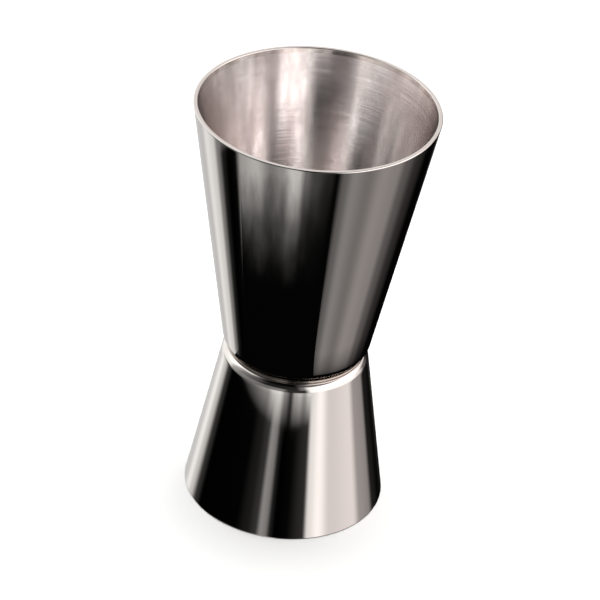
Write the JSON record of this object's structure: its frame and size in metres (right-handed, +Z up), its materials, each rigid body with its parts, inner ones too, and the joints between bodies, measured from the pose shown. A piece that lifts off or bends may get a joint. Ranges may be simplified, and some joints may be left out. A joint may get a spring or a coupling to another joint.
{
  "type": "bar jigger",
  "caption": "Double-ended spirit measure: two tapered steel cups joined floor to floor at a narrow waist, the larger cup up.",
  "frame": {"origin": "centre of the small cup's mouth, in the plane that the jigger stands on", "axes": "+Z up along the cups' common axis, from the small cup's mouth to the large cup's mouth"},
  "size_m": [0.0454, 0.0454, 0.084],
  "materials": {
    "polished_steel": "stainless steel, mirror polish outside, fine turned satin inside the cups",
    "weld_bead": "stainless weld metal, lightly polished",
    "weld_nugget": "fused stainless metal between the floors, matt, hidden"
  },
  "bodies": {
    "root": {"large_cup": "polished_steel", "small_cup": "polished_steel", "waist_seam": "weld_bead", "weld_spot_1": "weld_nugget", "weld_spot_2": "weld_nugget", "weld_spot_3": "weld_nugget"}
  },
  "joints": []
}
